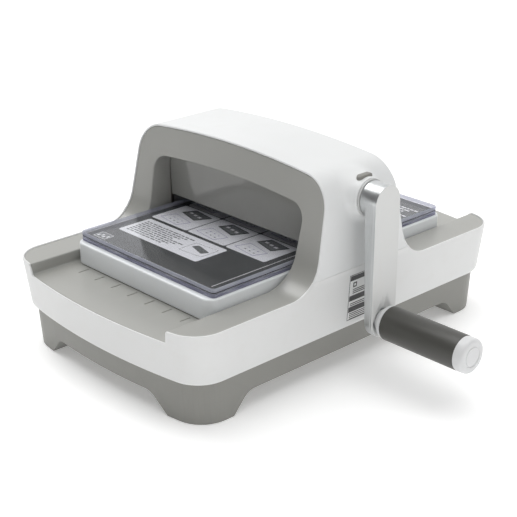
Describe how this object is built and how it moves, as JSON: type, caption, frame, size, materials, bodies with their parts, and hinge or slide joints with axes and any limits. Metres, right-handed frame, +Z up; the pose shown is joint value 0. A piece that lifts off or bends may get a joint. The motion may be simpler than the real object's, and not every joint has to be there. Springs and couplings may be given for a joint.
{
  "type": "die cutting machine",
  "caption": "Tabletop hand-cranked die cutting machine: an arch over a grey tray holds two geared rollers that draw a sliding platform with clear cutting pads through.",
  "frame": {"origin": "centre of the whole machine's bounding box, at its base, on the surface it stands on", "axes": "+X towards the crank side, +Y from the front tray to the rear tray along the platform's travel, +Z up"},
  "size_m": [0.3224, 0.344, 0.1602],
  "materials": {
    "white_shell": "satin moulded ABS",
    "cover_white": "satin moulded ABS",
    "grey_base": "fine moulded texture",
    "grey_tray": "fine moulded texture",
    "smoked_panel": "polished smoked grey",
    "frame_steel": "zinc plated",
    "roller_steel": "ground",
    "bush_bronze": "sintered bronze",
    "gear_nylon": "natural acetal",
    "pinion_steel": "machined",
    "arm_silver": "brushed, clear coated",
    "arm_inlay": "satin light grey",
    "ring_grey": "satin",
    "grip_dark": "matt soft-touch",
    "grip_white": "satin",
    "rubber_black": "matt",
    "platform_white": "milky, satin",
    "clear_pad": "clear polycarbonate",
    "print": "printed card",
    "button_grey": "satin",
    "spring_steel": "wire"
  },
  "bodies": {
    "housing": {"base_pan": "grey_base", "rubber_feet": "rubber_black", "base_screws": "frame_steel", "band_shell": "white_shell", "arch_cover": "cover_white", "front_tray": "grey_tray", "rear_tray": "grey_tray", "front_shield": "smoked_panel", "rear_shield": "smoked_panel", "frame_plate": "frame_steel", "side_plate_left": "frame_steel", "side_plate_right": "frame_steel", "tie_rods": "frame_steel", "roller_bushes": "bush_bronze", "crank_bush": "bush_bronze", "hub_ring": "ring_grey"},
    "upper_roller_body": {"upper_roller": "roller_steel", "upper_sync_gear": "gear_nylon", "upper_drive_gear": "gear_nylon"},
    "lower_roller_body": {"lower_roller": "roller_steel", "lower_sync_gear": "gear_nylon"},
    "crank_body": {"crank_shaft": "pinion_steel", "drive_pinion": "pinion_steel", "crank_arm": "arm_silver", "crank_face": "arm_inlay", "grip_spindle": "pinion_steel", "spindle_washer": "frame_steel"},
    "grip_body": {"grip_core": "grip_white", "grip_sleeve": "grip_dark", "grip_end_cap": "grip_white"},
    "platform_body": {"platform_base": "platform_white", "lower_pad": "clear_pad", "printed_sheet": "print", "upper_pad": "clear_pad"},
    "button_body": {"release_button": "button_grey", "button_spring": "spring_steel"}
  },
  "joints": [
    {"name": "crank_turn", "type": "hinge", "parent": "housing", "child": "crank_body", "pos_m": [0.0613, 0, 0.1368], "axis": [1, 0, 0], "range_deg": [-768.69, 768.69]},
    {"name": "upper_roller_spin", "type": "hinge", "parent": "housing", "child": "upper_roller_body", "pos_m": [-0.0522, 0, 0.1053], "axis": [1, 0, 0], "continuous": true},
    {"name": "lower_roller_spin", "type": "hinge", "parent": "housing", "child": "lower_roller_body", "pos_m": [-0.0522, 0, 0.0473], "axis": [1, 0, 0], "continuous": true},
    {"name": "platform_slide", "type": "slide", "parent": "housing", "child": "platform_body", "axis": [0, 1, 0], "range_m": [-0.11, 0.11]},
    {"name": "grip_spin", "type": "hinge", "parent": "crank_body", "child": "grip_body", "pos_m": [0.1178, 0, 0.0448], "axis": [1, 0, 0], "continuous": true},
    {"name": "button_press", "type": "slide", "parent": "housing", "child": "button_body", "axis": [0, 0, -1], "range_m": [0, 0.0014], "stiffness_N_per_m": 600, "springref_m": -0.001, "deforming": ["button_spring"]}
  ],
  "couplings": [
    {"joint": "upper_roller_spin", "follows": "crank_turn", "ratio": -0.5},
    {"joint": "lower_roller_spin", "follows": "crank_turn", "ratio": 0.5},
    {"joint": "platform_slide", "follows": "crank_turn", "m_per_rad": -0.00805}
  ]
}
